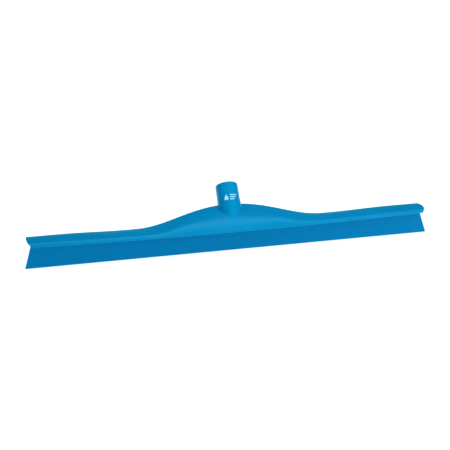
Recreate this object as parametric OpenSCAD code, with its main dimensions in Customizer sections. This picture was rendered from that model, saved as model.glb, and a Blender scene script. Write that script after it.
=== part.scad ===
// Floor squeegee head, 600 mm, one-piece hygienic pattern.
// A gull-wing body with a rolled front lip and an integral handle socket,
// and one rubber blade along its whole length.
// Frame: +X along the blade, -Y the front (the side the lip is on), +Z up.
// The origin is on the socket's axis, where its inner wall begins.

/* [Blade] */
// Length of the blade along its working edge
blade_len = 600; // [500:10:700]
// Length of the blade at its root, under the body
blade_root_len = 580.6; // [480:0.2:690]
// Height of the working edge below the body's waist
blade_h = 31; // [26:0.5:36]
// Thickness of the blade at its neck
blade_neck_t = 3.4; // [2.8:0.1:4]
// Thickness of the blade at its working edge
blade_edge_t = 2.2; // [1.6:0.1:3]
// How far the working edge leans forward of the root
blade_lean = 1.8; // [0:0.1:4]
// Height of the line that the blade flexes about
flex_z = 24.6; // [22:0.1:26]

/* [Body] */
// Length of the body at the rear edge of the wings
body_len = 595.6; // [490:0.2:700]
// How much further each end of the body reaches at the rear edge than at the lip
end_skew = 4; // [0:0.5:6]
// Wall thickness of the wings
wall = 3.6; // [3:0.1:4]
// Height of the lip's lower edge at the ends
lip_z = 35.3; // [34:0.1:37]
// Reach of the lip in front of the blade at the ends
lip_y = 14.6; // [12:0.1:18]
// Extra forward reach of the lip at the middle
lip_bow = 4.4; // [0:0.1:6]
// Drop of the lip's lower edge at the middle
lip_drop = 2.6; // [0:0.1:3]
// Height of the wing's rear edge at the ends
wing_z = 39.6; // [38:0.1:42]
// Dip of the wing's rear edge where the wings leave the middle
wing_dip = 2.2; // [0:0.1:3]
// Reach of the wing's rear edge behind the blade at the ends
wing_y = 21; // [18:0.5:24]
// Height of the rear edge beside the socket
peak_z = 60; // [56:0.5:64]
// Reach of the rear edge behind the blade, beside the socket
peak_y = 31; // [28:0.5:34]
// Half width over which the wings fall from the peak
fan_half = 138; // [120:1:160]

/* [Socket] */
// Lean of the socket's axis from the vertical, in degrees
sock_tilt = 34.5; // [30:0.5:37]
// Outer radius at the mouth
sock_r = 16.5; // [15:0.1:17]
// Increase in outer radius for each millimetre below the mouth
sock_taper = 0.015; // [0.01:0.005:0.04]
// Radius of the inner wall that takes the handle
bore_r = 11.5; // [10.5:0.1:12]
// Length of that wall
bore_len = 44; // [36:1:46]

/* [Hidden] */

blue = [0.01, 0.36, 0.62];
blade_blue = [0.0, 0.30, 0.52];
white = [0.75, 0.88, 0.95];

rim = 1.2;                       // lead-in at the mouth
mouth = [0, 45.1, 85.65];        // centre of the mouth's rim, edge of blade at z = 0
ax = [0, sin(sock_tilt), cos(sock_tilt)];
origin = mouth - rim * ax;       // start of the inner wall

// 1 beside the socket, 0 on the outer wings
function fan(x) = let (u = max(0, min(1, (abs(x) - 10) / (fan_half - 10)))) 1 - u * u * (3 - 2 * u);
function bow(x) = 1 - pow(x / 290, 2);
// 1 at the middle, where the crease stands high above the lip, 0 on the outer wings
function crease(x) = let (u = max(0, min(1, (abs(x) - 62) / 54))) 1 - u * u * (3 - 2 * u);
function mix(a, b, t) = a + (b - a) * t;
function bez(a, b, c, d, t) = a * pow(1 - t, 3) + b * 3 * t * pow(1 - t, 2) + c * 3 * t * t * (1 - t) + d * pow(t, 3);
function dbez(a, b, c, d, t) = (b - a) * 3 * pow(1 - t, 2) + (c - b) * 6 * t * (1 - t) + (d - c) * 3 * t * t;

// the outer skin's section at x: a cubic from the lip's lower edge to the rear edge
function p0(x) = [-lip_y - lip_bow * bow(x), lip_z - lip_drop * bow(x)];
function dip(x) = let (u = min(1, abs(abs(x) - 150) / 100)) wing_dip * pow(cos(90 * u), 2);
function p3(x) = [mix(wing_y, peak_y, fan(x)), mix(wing_z, peak_z, fan(x)) - dip(x)];
function p1(x) = p0(x) + mix(5.2, 15.6, crease(x)) * [cos(52), sin(52)];
function p2(x) = mix(p3(x), p1(x), 0.86) + [0, mix(3.4, 2.2, fan(x))];
function skin(x, t) = bez(p0(x), p1(x), p2(x), p3(x), t);
function nrm(x, t) = let (d = dbez(p0(x), p1(x), p2(x), p3(x), t)) [d[1], -d[0]] / norm(d);
// the wall thins towards the lip's edge and, less, towards the rear edge
function thick(t) = wall * min(1, 0.6 + 2.4 * t, 0.8 + 1.2 * (1 - t));
function under(x, t) = skin(x, t) + thick(t) * nrm(x, t);

// the spine under the skin that holds the blade
spine_w = 6.4;
spine_foot = 5.6;
nt = 18;
function tf(x, i) = 0.02 + 0.46 * i / 5;                                       // under the lip
function tb(x, i) = let (a = mix(0.8, 0.71, fan(x))) a + (0.98 - a) * i / 6;   // under the rear wing
function ring(x) = concat(
    [for (i = [0:nt]) skin(x, i / nt)],
    [p3(x) + thick(1) * (0.5 * nrm(x, 1) + 0.32 * [-nrm(x, 1)[1], nrm(x, 1)[0]])],
    [for (i = [6:-1:0]) under(x, tb(x, i))],
    [[spine_w / 2 + 1.2, blade_h + 3.6], [spine_foot / 2 + 0.3, blade_h + 1.2], [spine_foot / 2, blade_h]],
    [[-spine_foot / 2, blade_h], [-spine_foot / 2 - 0.3, blade_h + 1.2], [-spine_w / 2 - 0.8, blade_h + 3.0]],
    [for (i = [5:-1:0]) under(x, tf(x, i))],
    [p0(x) + thick(0) * (0.5 * nrm(x, 0) - 0.32 * [cos(52), sin(52)])]
);
xs = concat([for (x = [-298:24:-150]) x], [for (x = [-140:8:140]) x], [for (x = [154:24:298]) x]);
nr = len(ring(0));
ns = len(xs);
module wings() polyhedron(
    points = [for (x = xs) for (p = ring(x)) [x, p[0], p[1]]],
    faces = concat(
        [for (s = [0:ns - 2]) for (i = [0:nr - 1]) let (j = (i + 1) % nr)
            each [[s * nr + j, (s + 1) * nr + j, s * nr + i], [(s + 1) * nr + j, (s + 1) * nr + i, s * nr + i]]],
        [[for (i = [nr - 1:-1:0]) i]],
        [[for (i = [0:nr - 1]) (ns - 1) * nr + i]]),
    convexity = 8);

// front view of the body's two ends: the crest overhangs the waist
function end_x(z) = let (u = max(0, min(1, (z - 35.5) / 6))) blade_root_len / 2 + (body_len - blade_root_len) / 2 * u * u * (3 - 2 * u);
module ends() rotate([90, 0, 0]) linear_extrude(height = 160, center = true) polygon(concat(
    [for (z = [25, 35.5, 36.5, 37.5, 38.5, 39.5, 40.5, 41.5, 120]) [end_x(z), z]],
    [for (z = [120, 41.5, 40.5, 39.5, 38.5, 37.5, 36.5, 35.5, 25]) [-end_x(z), z]]));

// plan view of the two ends
module ends_plan() let (a = body_len / 2, k = end_skew / (wing_y + 16)) linear_extrude(height = 130) polygon([
    [-a + k * (wing_y + 60), -60], [a - k * (wing_y + 60), -60], [a + k * 60, wing_y + 60], [-a - k * 60, wing_y + 60]]);

// put something drawn about +Z, mouth at z = 0, onto the socket's axis
module on_socket() translate(mouth) rotate([-sock_tilt, 0, 0]) children();

sock_l = 48;
module barrel() on_socket() rotate_extrude($fn = 96) polygon([
    [0, -0.01], [sock_r - 2.2, 0], [sock_r - 1.1, -0.3], [sock_r - 0.3, -1.1], [sock_r + sock_taper * 2.2, -2.2],
    [sock_r + sock_taper * (sock_l - 3), -sock_l + 3], [sock_r + sock_taper * sock_l - 0.9, -sock_l + 0.9],
    [sock_r + sock_taper * sock_l - 3, -sock_l], [0, -sock_l]]);
// the barrel's front runs on down until it meets the skin
module barrel_front() intersection() {
    on_socket() rotate_extrude($fn = 96) polygon([[0, -40], [sock_r + sock_taper * 40, -40], [sock_r + sock_taper * 64 + 1.8, -64], [0, -64]]);
    translate([0, -1, 43.8]) rotate([23.5, 0, 0]) translate([-25, -12, 0]) cube([50, 60, 60]);
}
// gusset behind the blade line, from the barrel's closed end to the spine
module gusset() hull() {
    on_socket() translate([0, 0, -sock_l + 1]) cylinder(h = 6, r = 13.5, $fn = 32);
    translate([-11, -1.5, blade_h + 3.4]) cube([22, 4.5, 6]);
}

module body_solid() color(blue) difference() {
    union() {
        intersection() { wings(); ends(); ends_plan(); }
        barrel();
        barrel_front();
        gusset();
    }
    // the inner wall for the handle, with its lead-in and a drilled end
    on_socket() translate([0, 0, -rim - bore_len]) cylinder(h = bore_len + rim + 1, r = bore_r, $fn = 96);
    on_socket() rotate_extrude($fn = 96) polygon([[0, 1], [bore_r + rim + 1, 1], [bore_r, -rim], [0, -rim]]);
    // slot for the blade's tongue
    translate([-320, -tongue_t / 2, blade_h - 1]) cube([640, tongue_t, tongue_h + 1]);
}

tongue_t = 2.4;
tongue_h = 4.6;
flex_r = blade_neck_t / 2;
flex_y = -blade_lean * (blade_h - flex_z) / blade_h;

// front view of the blade: wider at its working edge than at its root
module blade_outline() rotate([90, 0, 0]) linear_extrude(height = 80, center = true) polygon([
    [-blade_len / 2, 0], [blade_len / 2, 0], [blade_root_len / 2, blade_h], [blade_root_len / 2, blade_h + 12],
    [-blade_root_len / 2, blade_h + 12], [-blade_root_len / 2, blade_h]]);
module along(w) rotate([90, 0, 90]) linear_extrude(height = w, center = true) children();

module blade_root_solid() color(blade_blue) intersection() {
    blade_outline();
    along(620) polygon([
        [-tongue_t / 2, blade_h + tongue_h], [-tongue_t / 2, blade_h], [-spine_foot / 2, blade_h],
        [-spine_foot / 2 + 0.5, blade_h - 1.3], [flex_y - flex_r - 0.15, blade_h - 3.2], [flex_y - flex_r, flex_z + flex_r + 0.35],
        [flex_y + flex_r, flex_z + flex_r + 0.35], [flex_y + flex_r + 0.15, blade_h - 3.2], [spine_foot / 2 - 0.5, blade_h - 1.3],
        [spine_foot / 2, blade_h], [tongue_t / 2, blade_h], [tongue_t / 2, blade_h + tongue_h]]);
}

module blade_lip_solid() color(blade_blue) intersection() {
    blade_outline();
    union() {
        along(620) polygon([
            [flex_y - flex_r, flex_z], [-blade_lean - blade_edge_t / 2, 0],
            [-blade_lean + blade_edge_t / 2, 0], [flex_y + flex_r, flex_z]]);
        translate([0, flex_y, flex_z]) rotate([0, 90, 0]) cylinder(h = 620, r = flex_r, center = true, $fn = 48);
    }
}

// plain printed sign: a drop beside three short bars
mark_t = 0.15;
mark_gap = 0.03;
module drop(r) union() { circle(r = r, $fn = 40); polygon([[-r * 0.866, r * 0.5], [r * 0.866, r * 0.5], [0, r * 2.1]]); }
module mark_solid() color(white) intersection() {
    on_socket() rotate_extrude($fn = 96) polygon([
        [sock_r + mark_gap + sock_taper * 14, -14], [sock_r + mark_gap + mark_t + sock_taper * 14, -14],
        [sock_r + mark_gap + mark_t + sock_taper * 34, -34], [sock_r + mark_gap + sock_taper * 34, -34]]);
    on_socket() rotate([90, 0, 0]) linear_extrude(height = 30) translate([0.2, 5.2]) scale(1.25) {
        translate([-5.2, -25.4]) drop(2.3);
        translate([-0.8, -21.9]) square([8.2, 1.1]);
        translate([-0.8, -24.6]) square([6.6, 1.1]);
        translate([-0.8, -27.3]) square([5.0, 1.1]);
    }
}

module body() translate(-origin) body_solid();
module blade_root() translate(-origin) blade_root_solid();
module blade_lip() translate(-origin) blade_lip_solid();
module socket_mark() translate(-origin) mark_solid();

body();
blade_root();
blade_lip();
socket_mark();
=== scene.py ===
# Looks of the floor squeegee head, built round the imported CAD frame.
import math

import bmesh
import bpy
import numpy as np
from mathutils import Matrix, Vector


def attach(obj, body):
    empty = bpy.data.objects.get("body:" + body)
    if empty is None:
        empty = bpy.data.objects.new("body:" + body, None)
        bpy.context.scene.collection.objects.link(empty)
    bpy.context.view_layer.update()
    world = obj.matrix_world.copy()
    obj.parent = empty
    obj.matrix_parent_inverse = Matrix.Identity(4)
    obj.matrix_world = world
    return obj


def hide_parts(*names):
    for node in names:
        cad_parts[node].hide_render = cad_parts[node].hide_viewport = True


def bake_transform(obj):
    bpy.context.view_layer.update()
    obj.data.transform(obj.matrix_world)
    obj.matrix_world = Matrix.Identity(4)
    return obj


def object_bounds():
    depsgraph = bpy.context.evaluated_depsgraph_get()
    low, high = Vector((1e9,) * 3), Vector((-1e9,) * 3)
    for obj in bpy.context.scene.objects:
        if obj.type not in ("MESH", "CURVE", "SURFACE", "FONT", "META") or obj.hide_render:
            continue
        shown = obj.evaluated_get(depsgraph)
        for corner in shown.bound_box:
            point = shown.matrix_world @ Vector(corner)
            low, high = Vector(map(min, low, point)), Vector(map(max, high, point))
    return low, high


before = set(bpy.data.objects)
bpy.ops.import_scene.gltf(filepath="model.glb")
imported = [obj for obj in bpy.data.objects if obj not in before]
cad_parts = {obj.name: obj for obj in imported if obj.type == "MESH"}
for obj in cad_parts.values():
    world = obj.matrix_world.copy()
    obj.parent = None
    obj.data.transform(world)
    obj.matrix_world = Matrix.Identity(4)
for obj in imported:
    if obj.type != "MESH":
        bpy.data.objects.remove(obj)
cad_lo, cad_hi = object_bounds()

# ---------------------------------------------------------------- sizes, in millimetres
# The working frame here has its zero at the blade's lower edge, as in the CAD
# source's own dimensions; ORIGIN is the row's origin in it.
TILT = math.radians(34.5)
MOUTH = np.array([0.0, 45.1, 85.65])
AX = np.array([0.0, math.sin(TILT), math.cos(TILT)])
RIM = 1.2
ORIGIN = MOUTH - RIM * AX

WALL = 3.6
LIP_Z, LIP_Y, LIP_BOW, LIP_DROP = 35.3, 14.6, 4.4, 2.6
WING_Z, WING_Y, WING_DIP = 39.6, 21.0, 2.2
PEAK_Z, PEAK_Y, FAN_HALF = 60.0, 31.0, 138.0
SOCK_R, SOCK_TAPER, SOCK_L = 16.5, 0.015, 48.0
BORE_R, BORE_LEN = 11.5, 44.0
BLADE_LEN, ROOT_LEN, BLADE_H = 600.0, 580.6, 31.0
NECK_T, EDGE_T, LEAN, FLEX_Z = 3.4, 2.2, 1.8, 24.6
BODY_LEN, END_SKEW = 595.6, 4.0
FOOT_W = 5.6
LIP_EASE, REAR_EASE = 1.1, 1.4
LIP_ON = 0.9  # how far the lip runs on below the skin's first point


def to_row(p):
    """Millimetres in the working frame to metres in the row's frame."""
    return (np.asarray(p, float) - ORIGIN) / 1000.0


# ---------------------------------------------------------------- the moulding as one implicit solid
def smooth(u):
    u = np.clip(u, 0.0, 1.0)
    return u * u * (3 - 2 * u)


def fan(x):
    return 1 - smooth((np.abs(x) - 10) / (FAN_HALF - 10))


def bow(x):
    return 1 - (x / 290.0) ** 2


def crease(x):
    return 1 - smooth((np.abs(x) - 62) / 54)


def dip(x):
    u = np.minimum(1.0, np.abs(np.abs(x) - 150) / 100)
    return WING_DIP * np.cos(np.pi / 2 * u) ** 2


def mix(a, b, t):
    return a + (b - a) * t


def skin_controls(x):
    """The four control points of the outer skin's section at x."""
    s = fan(x)
    a0 = math.radians(52)
    p0y, p0z = -LIP_Y - LIP_BOW * bow(x), LIP_Z - LIP_DROP * bow(x)
    p3y, p3z = mix(WING_Y, PEAK_Y, s), mix(WING_Z, PEAK_Z, s) - dip(x)
    h0 = mix(5.2, 15.6, crease(x))
    p1y, p1z = p0y + h0 * math.cos(a0), p0z + h0 * math.sin(a0)
    return (
        (p0y, p0z),
        (p1y, p1z),
        (mix(p3y, p1y, 0.86), mix(p3z, p1z, 0.86) + mix(3.4, 2.2, s)),
        (p3y, p3z),
    )


def thick(t):
    return WALL * np.minimum(1.0, np.minimum(0.6 + 2.4 * t, 0.8 + 1.2 * (1 - t)))


SEG = 36
TS = np.linspace(0.0, 1.0, SEG + 1)
OVER = 4.0  # the midline runs on this far past both ends, where planes then cut it


def midline(x):
    """Midline points and half thickness of the skin at each x, arrays (SEG + 3, n), and its two end planes."""
    x = np.atleast_1d(np.asarray(x, float))
    c = skin_controls(x)
    t = TS[:, None]
    w = ((1 - t) ** 3, 3 * t * (1 - t) ** 2, 3 * t * t * (1 - t), t**3)
    d = (3 * (1 - t) ** 2, 6 * t * (1 - t), 3 * t * t)
    y = sum(w[i] * c[i][0] for i in range(4))
    z = sum(w[i] * c[i][1] for i in range(4))
    dy = sum(d[i] * (c[i + 1][0] - c[i][0]) for i in range(3))
    dz = sum(d[i] * (c[i + 1][1] - c[i][1]) for i in range(3))
    n = np.hypot(dy, dz)
    dy, dz = dy / n, dz / n
    h = thick(t) / 2 + 0 * y
    my, mz = y + h * dz, z - h * dy
    my = np.concatenate([my[:1] - OVER * dy[:1], my, my[-1:] + OVER * dy[-1:]])
    mz = np.concatenate([mz[:1] - OVER * dz[:1], mz, mz[-1:] + OVER * dz[-1:]])
    h = np.concatenate([h[:1], h, h[-1:]])
    ends = (y[0] - LIP_ON * dy[0], z[0] - LIP_ON * dz[0], -dy[0], -dz[0]), (y[-1], z[-1], dy[-1], dz[-1])
    return my, mz, h, ends


def band(y, z, my, mz, h, ends):
    """Signed distance in the section to the skin, a band of changing thickness with eased ends."""
    best = None
    for j in range(SEG + 2):
        ay, az, by, bz = my[j], mz[j], my[j + 1], mz[j + 1]
        ey, ez = by - ay, bz - az
        u = np.clip(((y - ay) * ey + (z - az) * ez) / (ey * ey + ez * ez), 0, 1)
        f = np.hypot(y - ay - u * ey, z - az - u * ez) - (h[j] + u * (h[j + 1] - h[j]))
        best = f if best is None else np.minimum(best, f)
    for (py, pz, ny, nz), k in zip(ends, (LIP_EASE, REAR_EASE)):
        best = smax(best, (y - py) * ny + (z - pz) * nz, k)
    return best


def smin(a, b, k):
    h = np.maximum(k - np.abs(a - b), 0) / k
    return np.minimum(a, b) - h * h * k * 0.25


def smax(a, b, k):
    return -smin(-a, -b, k)


def end_half(z):
    return ROOT_LEN / 2 + ((BODY_LEN - ROOT_LEN) / 2 + 2.5) * smooth((z - 35.0) / 8)


def solid(x, y, z, section):
    """The moulding's implicit function: below zero inside it."""
    skin = band(y, z, *section)
    # the spine that holds the blade's root
    half = FOOT_W / 2 + 0.20 * np.maximum(z - BLADE_H, 0)
    spine = smax(np.abs(y) - half, np.maximum(BLADE_H - z, z - 38.4), 0.5)
    f = smin(skin, spine, 2.0)
    skew = np.abs(x) - (BODY_LEN / 2 + (y - WING_Y) * END_SKEW / (WING_Y + 16))
    f = smax(f, smax(np.abs(x) - end_half(z), skew, 4.0), 0.9)
    # along and around the socket's axis
    py, pz = y - MOUTH[1], z - MOUTH[2]
    s = -(py * AX[1] + pz * AX[2])
    q = py * AX[2] - pz * AX[1]
    rho = np.hypot(x, q)
    cone = rho - (SOCK_R + SOCK_TAPER * s)
    barrel = smax(cone, -s, 2.4)
    barrel = smax(barrel, s - SOCK_L, 5.0)
    f = smin(f, barrel, 1.6)
    # the barrel's front runs down over the skin until it meets it
    above = (43.8 - z) * math.cos(math.radians(23.5)) + (y + 1.0) * math.sin(math.radians(23.5))
    front = np.maximum(np.maximum(cone - 0.075 * np.maximum(s - 40, 0), 30 - s), np.maximum(s - 64, above))
    f = smin(f, front, 1.8)
    # gusset from the barrel's closed end to the spine
    ay, az, by, bz = 23.0, 49.0, 2.0, 37.0
    ey, ez = by - ay, bz - az
    u = np.clip(((y - ay) * ey + (z - az) * ez) / (ey * ey + ez * ez), 0, 1)
    gy, gz = y - ay - u * ey, z - az - u * ez
    gusset = np.sqrt(gy * gy + gz * gz + x * x * mix(1.0, 0.12, u)) - mix(12.0, 3.2, u)
    f = smin(f, gusset, 4.0)
    # the inner wall for the handle, its lead-in and its floor
    bore = smax(rho - BORE_R, s - (RIM + BORE_LEN), 1.0)
    lead = rho - BORE_R - (RIM - s)
    bore = smin(bore, np.maximum(lead, s - RIM - 2), 0.8)
    return smax(f, -bore, 1.0)


def axis_points(step, wide, lo, hi, fine):
    """Grid lines from lo to hi, step apart inside each (a, b) of fine and wide elsewhere, growing smoothly."""
    pts, v = [lo], lo
    while v < hi:
        gap = min([max(0.0, a - v, v - b) for a, b in fine])
        v += min(wide, step + 0.22 * gap)
        pts.append(v)
    return np.array(pts)


def surface_net(xs, ys, zs, value):
    """A quad mesh of value = 0 on a grid of unequal lines: one point in each cell the surface crosses."""
    nx, ny, nz = len(xs), len(ys), len(zs)
    inside = value < 0
    cx, cy, cz = nx - 1, ny - 1, nz - 1
    total = np.zeros((cx, cy, cz, 3))
    count = np.zeros((cx, cy, cz))
    grid = (xs, ys, zs)
    for axis in range(3):
        a = [slice(None)] * 3
        b = [slice(None)] * 3
        a[axis], b[axis] = slice(0, -1), slice(1, None)
        va, vb = value[tuple(a)], value[tuple(b)]
        cross = inside[tuple(a)] != inside[tuple(b)]
        idx = np.argwhere(cross)
        t = va[cross] / (va[cross] - vb[cross])
        p = np.stack([grid[k][idx[:, k]] for k in range(3)], 1)
        p[:, axis] += t * (grid[axis][idx[:, axis] + 1] - grid[axis][idx[:, axis]])
        o1, o2 = [k for k in range(3) if k != axis]
        for d1 in (0, -1):
            for d2 in (0, -1):
                c = idx.copy()
                c[:, o1] += d1
                c[:, o2] += d2
                ok = (c >= 0).all(1) & (c < (cx, cy, cz)).all(1)
                c, pp = c[ok], p[ok]
                np.add.at(total, (c[:, 0], c[:, 1], c[:, 2]), pp)
                np.add.at(count, (c[:, 0], c[:, 1], c[:, 2]), 1)
    used = count > 0
    number = -np.ones(count.shape, int)
    number[used] = np.arange(used.sum())
    verts = total[used] / count[used][:, None]
    quads = []
    for axis in range(3):
        a = [slice(None)] * 3
        b = [slice(None)] * 3
        a[axis], b[axis] = slice(0, -1), slice(1, None)
        ia, ib = inside[tuple(a)], inside[tuple(b)]
        o1, o2 = [(1, 2), (2, 0), (0, 1)][axis]
        for flip in (False, True):
            idx = np.argwhere((ia & ~ib) if not flip else (~ia & ib))
            ok = (idx[:, o1] > 0) & (idx[:, o2] > 0) & (idx[:, o1] < (cx, cy, cz)[o1]) & (idx[:, o2] < (cx, cy, cz)[o2])
            idx = idx[ok]
            ring = []
            for d1, d2 in ((-1, -1), (0, -1), (0, 0), (-1, 0)):
                c = idx.copy()
                c[:, o1] += d1
                c[:, o2] += d2
                ring.append(number[c[:, 0], c[:, 1], c[:, 2]])
            q = np.stack(ring, 1)
            quads.append(q[:, ::-1] if flip else q)
    return verts, np.concatenate(quads)


def field(p):
    return solid(p[:, 0], p[:, 1], p[:, 2], midline(p[:, 0]))


def gradient(p, e=0.02):
    g = np.empty_like(p)
    for k in range(3):
        d = np.zeros(3)
        d[k] = e
        g[:, k] = (field(p + d) - field(p - d)) / (2 * e)
    return g


def moulding():
    fine = 0.8
    xs = axis_points(fine, 5.0, -298.0, 298.0, [(-298, -288), (-36, 36), (288, 298)])
    xs = (xs - xs[::-1]) / 2  # the same on both sides
    ys = axis_points(fine, fine, -21.5, 61.0, [(-21.5, 61)])
    zs = axis_points(fine, fine, 29.4, 96.0, [(29, 96)])
    value = np.empty((len(xs), len(ys), len(zs)))
    yy, zz = np.meshgrid(ys, zs, indexing="ij")
    for i, x in enumerate(xs):
        value[i] = solid(x, yy, zz, midline([x]))
    verts, quads = surface_net(xs, ys, zs, value)
    # slide the points evenly over the surface, and put them exactly on it
    edges = np.concatenate([quads[:, [0, 1]], quads[:, [1, 2]], quads[:, [2, 3]], quads[:, [3, 0]]])
    for turn in range(3):
        g = gradient(verts)
        n2 = (g * g).sum(1)
        step = (field(verts) / np.maximum(n2, 0.2))[:, None] * g
        lim = np.linalg.norm(step, axis=1)
        step *= np.minimum(1.0, 0.8 / np.maximum(lim, 1e-9))[:, None]
        verts = verts - step
        if turn < 2:
            n = g / np.sqrt(np.maximum(n2, 1e-9))[:, None]
            acc = np.zeros_like(verts)
            num = np.zeros(len(verts))
            np.add.at(acc, edges[:, 0], verts[edges[:, 1]])
            np.add.at(num, edges[:, 0], 1)
            move = acc / np.maximum(num, 1)[:, None] - verts
            move -= (move * n).sum(1)[:, None] * n
            verts = verts + 0.5 * move
    g = gradient(verts, 0.05)
    return verts, quads, g / np.linalg.norm(g, axis=1)[:, None]


def new_mesh(name, verts, faces, soft=True, normals=None):
    me = bpy.data.meshes.new(name)
    me.from_pydata([tuple(v) for v in to_row(verts)], [], [tuple(int(i) for i in f) for f in faces])
    me.update()
    if soft:
        me.shade_smooth()
    if normals is not None:
        me.normals_split_custom_set_from_vertices([tuple(n) for n in normals])
    ob = bpy.data.objects.new(name, me)
    bpy.context.scene.collection.objects.link(ob)
    return ob


# ---------------------------------------------------------------- materials
def material(name):
    m = bpy.data.materials.new(name)
    m.use_nodes = True
    nt = m.node_tree
    return m, nt, nt.nodes["Principled BSDF"]


def node(nt, kind, **values):
    n = nt.nodes.new(kind)
    for k, v in values.items():
        if k in n.inputs:
            n.inputs[k].default_value = v
        else:
            setattr(n, k, v)
    return n


def colour_ramp(nt, stops):
    r = nt.nodes.new("ShaderNodeValToRGB")
    while len(r.color_ramp.elements) < len(stops):
        r.color_ramp.elements.new(0.5)
    for e, (pos, col) in zip(r.color_ramp.elements, stops):
        e.position = pos
        e.color = (*col, 1) if len(col) == 3 else col
    return r


def plastic_blue():
    m, nt, b = material("blue_polypropylene")
    tc = node(nt, "ShaderNodeTexCoord")
    # slow clouding of the pigment
    slow = node(nt, "ShaderNodeTexNoise", Scale=22.0, Detail=3.0, Roughness=0.5)
    nt.links.new(tc.outputs["Object"], slow.inputs["Vector"])
    ramp = colour_ramp(nt, [(0.3, BODY_A), (0.7, BODY_B)])
    nt.links.new(slow.outputs["Fac"], ramp.inputs["Fac"])
    nt.links.new(ramp.outputs["Color"], b.inputs["Base Color"])
    # gloss that changes a little along the flow of the moulding
    stretch = node(nt, "ShaderNodeMapping")
    stretch.inputs["Scale"].default_value = (18.0, 90.0, 90.0)
    nt.links.new(tc.outputs["Object"], stretch.inputs["Vector"])
    flow = node(nt, "ShaderNodeTexNoise", Scale=1.0, Detail=4.0, Roughness=0.55)
    nt.links.new(stretch.outputs["Vector"], flow.inputs["Vector"])
    rough = node(nt, "ShaderNodeMapRange")
    rough.inputs["From Min"].default_value = 0.25
    rough.inputs["From Max"].default_value = 0.75
    rough.inputs["To Min"].default_value = 0.27
    rough.inputs["To Max"].default_value = 0.32
    nt.links.new(flow.outputs["Fac"], rough.inputs["Value"])
    nt.links.new(rough.outputs["Result"], b.inputs["Roughness"])
    # the mould's fine spark texture over a faint waviness
    grain = node(nt, "ShaderNodeTexNoise", Scale=1700.0, Detail=2.0, Roughness=0.6)
    nt.links.new(tc.outputs["Object"], grain.inputs["Vector"])
    b1 = node(nt, "ShaderNodeBump", Strength=0.06, Distance=0.0001)
    nt.links.new(grain.outputs["Fac"], b1.inputs["Height"])
    wave = node(nt, "ShaderNodeTexNoise", Scale=45.0, Detail=1.0)
    nt.links.new(tc.outputs["Object"], wave.inputs["Vector"])
    b2 = node(nt, "ShaderNodeBump", Strength=0.06, Distance=0.0004)
    nt.links.new(wave.outputs["Fac"], b2.inputs["Height"])
    nt.links.new(b1.outputs["Normal"], b2.inputs["Normal"])
    nt.links.new(b2.outputs["Normal"], b.inputs["Normal"])
    b.inputs["IOR"].default_value = 1.42
    b.inputs["Specular Tint"].default_value = (0.03, 0.80, 1.0, 1)
    return m


def rubber_blue():
    m, nt, b = material("blue_rubber")
    tc = node(nt, "ShaderNodeTexCoord")
    stretch = node(nt, "ShaderNodeMapping")
    stretch.inputs["Scale"].default_value = (6.0, 60.0, 160.0)
    nt.links.new(tc.outputs["Object"], stretch.inputs["Vector"])
    flow = node(nt, "ShaderNodeTexNoise", Scale=1.0, Detail=5.0, Roughness=0.55)
    nt.links.new(stretch.outputs["Vector"], flow.inputs["Vector"])
    ramp = colour_ramp(nt, [(0.3, RUBBER_A), (0.7, RUBBER_B)])
    nt.links.new(flow.outputs["Fac"], ramp.inputs["Fac"])
    nt.links.new(ramp.outputs["Color"], b.inputs["Base Color"])
    rough = node(nt, "ShaderNodeMapRange")
    rough.inputs["To Min"].default_value = 0.48
    rough.inputs["To Max"].default_value = 0.60
    nt.links.new(flow.outputs["Fac"], rough.inputs["Value"])
    nt.links.new(rough.outputs["Result"], b.inputs["Roughness"])
    grain = node(nt, "ShaderNodeTexNoise", Scale=2600.0, Detail=2.0, Roughness=0.6)
    nt.links.new(tc.outputs["Object"], grain.inputs["Vector"])
    b1 = node(nt, "ShaderNodeBump", Strength=0.14, Distance=0.0001)
    nt.links.new(grain.outputs["Fac"], b1.inputs["Height"])
    nt.links.new(b1.outputs["Normal"], b.inputs["Normal"])
    b.inputs["IOR"].default_value = 1.42
    b.inputs["Specular Tint"].default_value = (0.03, 0.80, 1.0, 1)
    return m


def print_pale():
    m, nt, b = material("pale_print")
    tc = node(nt, "ShaderNodeTexCoord")
    n = node(nt, "ShaderNodeTexNoise", Scale=900.0, Detail=2.0)
    nt.links.new(tc.outputs["Object"], n.inputs["Vector"])
    ramp = colour_ramp(nt, [(0.3, (0.30, 0.62, 0.82)), (0.7, (0.42, 0.72, 0.88))])
    nt.links.new(n.outputs["Fac"], ramp.inputs["Fac"])
    nt.links.new(ramp.outputs["Color"], b.inputs["Base Color"])
    b.inputs["Roughness"].default_value = 0.45
    return m


BODY_A, BODY_B = (0.0, 0.191, 0.400), (0.0, 0.203, 0.424)
RUBBER_A, RUBBER_B = (0.0, 0.153, 0.366), (0.0, 0.166, 0.393)

# ---------------------------------------------------------------- the camera
# Where the photograph was taken from, in the working frame.
EYE = np.array([-269.54, -1175.82, 392.52])
RIGHT = np.array([0.97513399, -0.22016678, -0.0253041])
UP = np.array([0.08598839, 0.27064878, 0.95883014])
AHEAD = np.array([0.20425402, 0.93716371, -0.28285061])
cam_data = bpy.data.cameras.new("camera")
cam_data.sensor_width = 36.0
cam_data.lens = 865.0 / 450.0 * 36.0
cam_data.clip_end = 20.0
camera = bpy.data.objects.new("camera", cam_data)
eye = to_row(EYE)
camera.matrix_world = Matrix((
    (RIGHT[0], UP[0], -AHEAD[0], eye[0]),
    (RIGHT[1], UP[1], -AHEAD[1], eye[1]),
    (RIGHT[2], UP[2], -AHEAD[2], eye[2]),
    (0, 0, 0, 1),
))
bpy.context.scene.collection.objects.link(camera)
bpy.context.scene.camera = camera

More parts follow.
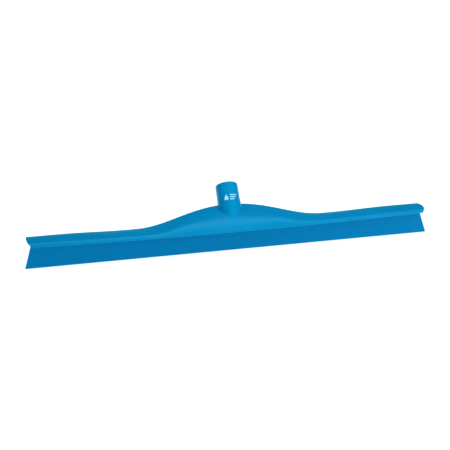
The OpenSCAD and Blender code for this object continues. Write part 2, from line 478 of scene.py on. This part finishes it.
# ---------------------------------------------------------------- the body
plastic, rubber, ink = plastic_blue(), rubber_blue(), print_pale()
verts, quads, normals = moulding()
body = new_mesh("body_moulding", verts, quads, normals=normals)
body.data.materials.append(plastic)
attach(body, "head")
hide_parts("body")


# the coarse thread inside the socket: a ridge wound on the inner wall
def thread():
    pitch, turns, per = 5.0, 6.6, 72
    count = int(turns * per)
    section = [(0.35, 1.75), (-1.15, 0.55), (-1.15, -0.55), (0.35, -1.75)]
    e1, e2 = np.array([1.0, 0, 0]), np.cross(AX, np.array([1.0, 0, 0]))
    vs = []
    for i in range(count + 1):
        a = 2 * math.pi * i / per
        grow = float(smooth(min(i, count - i) / (0.4 * per)))
        s = 5.0 + pitch * i / per
        for dr, ds in section:
            r = BORE_R + (dr if dr > 0 else dr * grow + 0.2 * (1 - grow))
            vs.append(MOUTH - AX * (s + ds) + r * (math.cos(a) * e1 + math.sin(a) * e2))
    fs = []
    for i in range(count):
        for k in range(4):
            a, b = i * 4 + k, i * 4 + (k + 1) % 4
            fs.append((a, b, b + 4, a + 4))
    fs += [(0, 3, 2, 1), tuple(count * 4 + k for k in range(4))]
    return np.array(vs), fs


tv, tf = thread()
ridge = new_mesh("socket_thread", tv, tf, soft=False)
bm = bmesh.new()
bm.from_mesh(ridge.data)
bmesh.ops.recalc_face_normals(bm, faces=bm.faces)
bm.to_mesh(ridge.data)
bm.free()
ridge.data.materials.append(plastic)
bevel = ridge.modifiers.new("bevel", "BEVEL")
bevel.width = 0.00025
bevel.segments = 2
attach(ridge, "head")


# ---------------------------------------------------------------- the blade
def blade():
    """One strip: shoulders under the body, a thin neck, then a taper to the working edge."""
    half = [
        (31.3, 2.72), (31.0, 2.80), (30.7, 2.78), (30.3, 2.62), (29.8, 2.40), (29.2, 2.18), (28.4, 1.98),
        (27.4, 1.84), (26.2, 1.75), (25.0, 1.70), (23.5, 1.66), (22.0, 1.63), (20.0, 1.59), (18.0, 1.54),
        (16.0, 1.50), (13.5, 1.45), (11.0, 1.38), (8.5, 1.33), (6.0, 1.26), (4.0, 1.21), (2.2, 1.16),
        (1.0, 1.13), (0.35, 1.11), (0.12, 1.05), (0.0, 0.90),
    ]
    ring = [(z, -w) for z, w in half] + [(0.0, 0.0)] + [(z, w) for z, w in reversed(half)] + [(31.3, 0.0)]
    us = np.concatenate([[-1, -0.9996, -0.9985, -0.996], np.linspace(-0.99, 0.99, 133), [0.996, 0.9985, 0.9996, 1]])
    vs, nr = [], len(ring)
    for u in us:
        shrink = 0.85 if abs(u) == 1 else 1.0  # eased corners at both ends
        for z, w in ring:
            length = mix(BLADE_LEN / 2, ROOT_LEN / 2, min(1.0, z / BLADE_H))
            y = -LEAN * (BLADE_H - z) / BLADE_H
            vs.append((u * length, y + w * shrink, z + (0.12 if abs(u) == 1 and z < 0.3 else 0)))
    fs = []
    for i in range(len(us) - 1):
        for k in range(nr):
            j = (k + 1) % nr
            fs.append((i * nr + k, i * nr + j, (i + 1) * nr + j, (i + 1) * nr + k))
    # ends: a strip of quads across the thickness
    n = len(half)
    for base, flip in ((0, False), ((len(us) - 1) * nr, True)):
        for k in range(n - 1):
            f = (base + k, base + k + 1, base + 2 * n - k - 1, base + 2 * n - k)
            fs.append(f[::-1] if not flip else f)
        tip = (base + n - 1, base + n, base + n + 1)
        top = (base, base + 2 * n, base + 2 * n + 1)
        fs.append(tip[::-1] if not flip else tip)
        fs.append(top[::-1] if flip else top)
    return np.array(vs), fs


bv, bf = blade()
strip = new_mesh("rubber_blade", bv, bf)
bm = bmesh.new()
bm.from_mesh(strip.data)
bmesh.ops.recalc_face_normals(bm, faces=bm.faces)
bm.to_mesh(strip.data)
bm.free()
strip.data.set_sharp_from_angle(angle=math.radians(40))
strip.data.materials.append(rubber)
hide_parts("blade_root", "blade_lip")
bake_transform(strip)

# ---------------------------------------------------------------- the printed sign stays the CAD's
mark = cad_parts["socket_mark"]
mark.data.materials.clear()
mark.data.materials.append(ink)

# ---------------------------------------------------------------- floor and light
floor_z = float(cad_lo.z) - 0.0002
bpy.ops.mesh.primitive_plane_add(size=80.0, location=(0, 1.0, floor_z))
floor = bpy.context.object
floor.name = "floor"
fm, fnt, fb = material("pale_floor")
fb.inputs["Base Color"].default_value = (0.5, 0.5, 0.5, 1)
fb.inputs["Emission Color"].default_value = (1, 1, 1, 1)
fb.inputs["Emission Strength"].default_value = 0.8
fb.inputs["Roughness"].default_value = 1.0
fb.inputs["Specular IOR Level"].default_value = 0.0
floor.data.materials.append(fm)

world = bpy.data.worlds.new("studio")
bpy.context.scene.world = world
world.use_nodes = True
world.node_tree.nodes["Background"].inputs["Color"].default_value = (0.04, 0.80, 1, 1)
world.node_tree.nodes["Background"].inputs["Strength"].default_value = 0.42
bpy.context.scene.view_settings.view_transform = "Standard"


def sun(name, where, power, angle):
    """A far, soft lamp: power is the brightness that it gives a white surface facing it."""
    d = bpy.data.lights.new(name, "SUN")
    d.energy = power * math.pi
    d.angle = math.radians(angle)
    o = bpy.data.objects.new(name, d)
    o.rotation_euler = Vector(where).to_track_quat("Z", "Y").to_euler()
    bpy.context.scene.collection.objects.link(o)
    return o


sun("key", (0.0, -0.34, 0.94), 0.05, 60)
sun("left", (-0.55, 0.10, 0.83), 0.13, 60)
sun("right", (0.80, -0.40, 0.45), 0.06, 60)
sun("low", (0.18, -0.98, -0.12), 0.18, 40)
sun("overhead", (0.10, -0.03, 0.99), 0.18, 40)
sun("overhead_right", (0.46, -0.03, 0.89), 0.03, 20)


def lamp(name, where, watts, size):
    """A near round lamp that looks at the head's middle."""
    d = bpy.data.lights.new(name, "AREA")
    d.shape, d.size, d.energy = "DISK", size, watts
    o = bpy.data.objects.new(name, d)
    o.location = to_row(where)
    o.rotation_euler = Vector(to_row(where) - to_row([0, 0, 40])).to_track_quat("Z", "Y").to_euler()
    bpy.context.scene.collection.objects.link(o)
    return o


lamp("side", (600, -800, 80), 2.4, 0.5)
lamp("front_right", (650, -600, 700), 1.8, 0.4)
lamp("top", (10, -90, 430), 0.46, 0.4)
lamp("front", (80, -520, 40), 0.30, 0.3)
